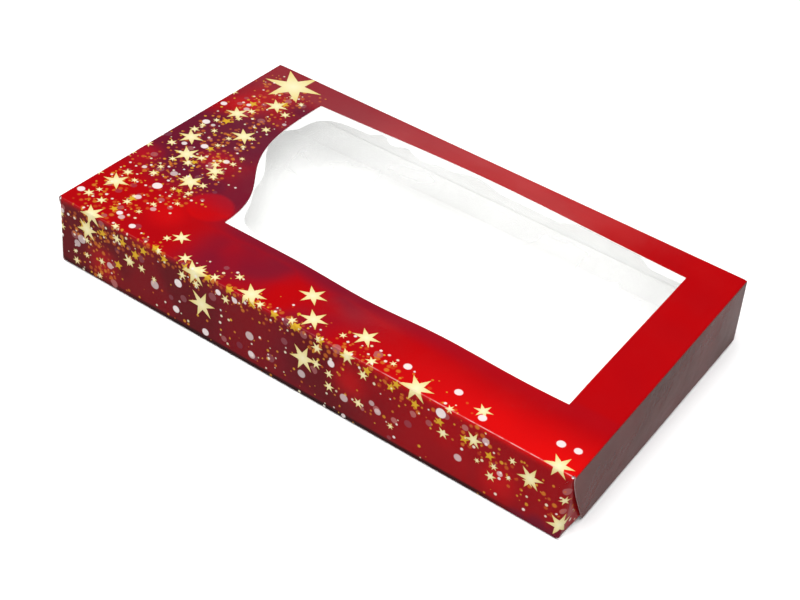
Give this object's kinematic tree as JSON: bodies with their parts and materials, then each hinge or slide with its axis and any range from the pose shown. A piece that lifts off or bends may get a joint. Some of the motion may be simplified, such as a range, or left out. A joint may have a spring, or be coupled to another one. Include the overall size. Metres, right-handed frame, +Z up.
{
  "type": "cookie box",
  "caption": "Flat folding carton for cookies with a clear film window in its top and a tuck-in closure at each end.",
  "frame": {"origin": "centre of the closed box's footprint, on its underside", "axes": "+X along the box's length towards the plain right end, +Y towards the back wall, +Z up"},
  "size_m": [0.3, 0.18, 0.04],
  "materials": {
    "printed_board": "gloss",
    "end_board": "satin",
    "inner_board": "matte",
    "window_film": "gloss",
    "adhesive": "satin"
  },
  "bodies": {
    "tube": {"top_panel": "printed_board", "front_wall": "printed_board", "back_wall": "printed_board", "bottom_panel": "printed_board", "glue_flap": "inner_board", "seam_adhesive": "adhesive", "window_film": "window_film", "window_adhesive": "adhesive"},
    "right_closure": {"right_closure_panel": "end_board"},
    "right_tuck": {"right_tuck_flap": "end_board"},
    "right_front_dust": {"right_front_dust_flap": "printed_board"},
    "right_back_dust": {"right_back_dust_flap": "printed_board"},
    "left_closure": {"left_closure_panel": "end_board"},
    "left_tuck": {"left_tuck_flap": "end_board"},
    "left_front_dust": {"left_front_dust_flap": "printed_board"},
    "left_back_dust": {"left_back_dust_flap": "printed_board"}
  },
  "joints": [
    {"name": "right_closure_fold", "type": "hinge", "parent": "tube", "child": "right_closure", "pos_m": [0.14975, 0, 0.03975], "axis": [0, -1, 0], "range_deg": [0, 150]},
    {"name": "right_tuck_fold", "type": "hinge", "parent": "right_closure", "child": "right_tuck", "pos_m": [0.14975, 0, 0.001], "axis": [0, -1, 0], "range_deg": [0, 60]},
    {"name": "right_front_dust_fold", "type": "hinge", "parent": "tube", "child": "right_front_dust", "pos_m": [0.14895, -0.08975, 0.02], "axis": [0, 0, -1], "range_deg": [0, 75]},
    {"name": "right_back_dust_fold", "type": "hinge", "parent": "tube", "child": "right_back_dust", "pos_m": [0.14895, 0.08975, 0.02], "axis": [0, 0, 1], "range_deg": [0, 75]},
    {"name": "left_closure_fold", "type": "hinge", "parent": "tube", "child": "left_closure", "pos_m": [-0.14975, 0, 0.03975], "axis": [0, 1, 0], "range_deg": [0, 150]},
    {"name": "left_tuck_fold", "type": "hinge", "parent": "left_closure", "child": "left_tuck", "pos_m": [-0.14975, 0, 0.001], "axis": [0, 1, 0], "range_deg": [0, 60]},
    {"name": "left_front_dust_fold", "type": "hinge", "parent": "tube", "child": "left_front_dust", "pos_m": [-0.14895, -0.08975, 0.02], "axis": [0, 0, 1], "range_deg": [0, 75]},
    {"name": "left_back_dust_fold", "type": "hinge", "parent": "tube", "child": "left_back_dust", "pos_m": [-0.14895, 0.08975, 0.02], "axis": [0, 0, -1], "range_deg": [0, 75]}
  ],
  "couplings": [
    {"joint": "right_tuck_fold", "follows": "right_closure_fold", "ratio": 0.4},
    {"joint": "right_front_dust_fold", "follows": "right_closure_fold", "ratio": 0.5},
    {"joint": "right_back_dust_fold", "follows": "right_closure_fold", "ratio": 0.5},
    {"joint": "left_tuck_fold", "follows": "left_closure_fold", "ratio": 0.4},
    {"joint": "left_front_dust_fold", "follows": "left_closure_fold", "ratio": 0.5},
    {"joint": "left_back_dust_fold", "follows": "left_closure_fold", "ratio": 0.5}
  ]
}
